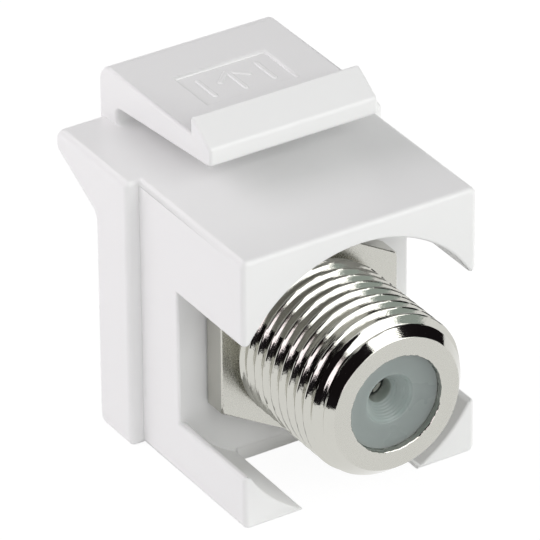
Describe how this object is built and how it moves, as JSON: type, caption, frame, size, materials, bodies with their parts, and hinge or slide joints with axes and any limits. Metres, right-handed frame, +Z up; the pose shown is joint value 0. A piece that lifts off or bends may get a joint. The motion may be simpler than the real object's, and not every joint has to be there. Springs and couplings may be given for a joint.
{
  "type": "f connector panel insert",
  "caption": "Snap-in plastic panel insert with a sprung top latch, holding a threaded female to female coaxial coupler with a hexagonal flange.",
  "frame": {"origin": "on the coupler's axis, in the plane where the back plate bears on the back of the panel", "axes": "+X across the width, -Y out of the port that shows at the front, +Z up with the latch on top"},
  "size_m": [0.0162, 0.0224, 0.0206],
  "materials": {
    "moulding": "white moulded ABS, satin to gloss",
    "plated_shell": "bright nickel plate on turned brass",
    "core_plastic": "grey moulded insulator, satin",
    "contact_metal": "spring bronze, satin",
    "plated_nut": "nickel plate"
  },
  "bodies": {
    "root": {"housing": "moulding", "coupler_shell": "plated_shell", "front_insulator": "core_plastic", "rear_insulator": "core_plastic", "centre_contact": "contact_metal", "retaining_nut": "plated_nut"}
  },
  "joints": []
}
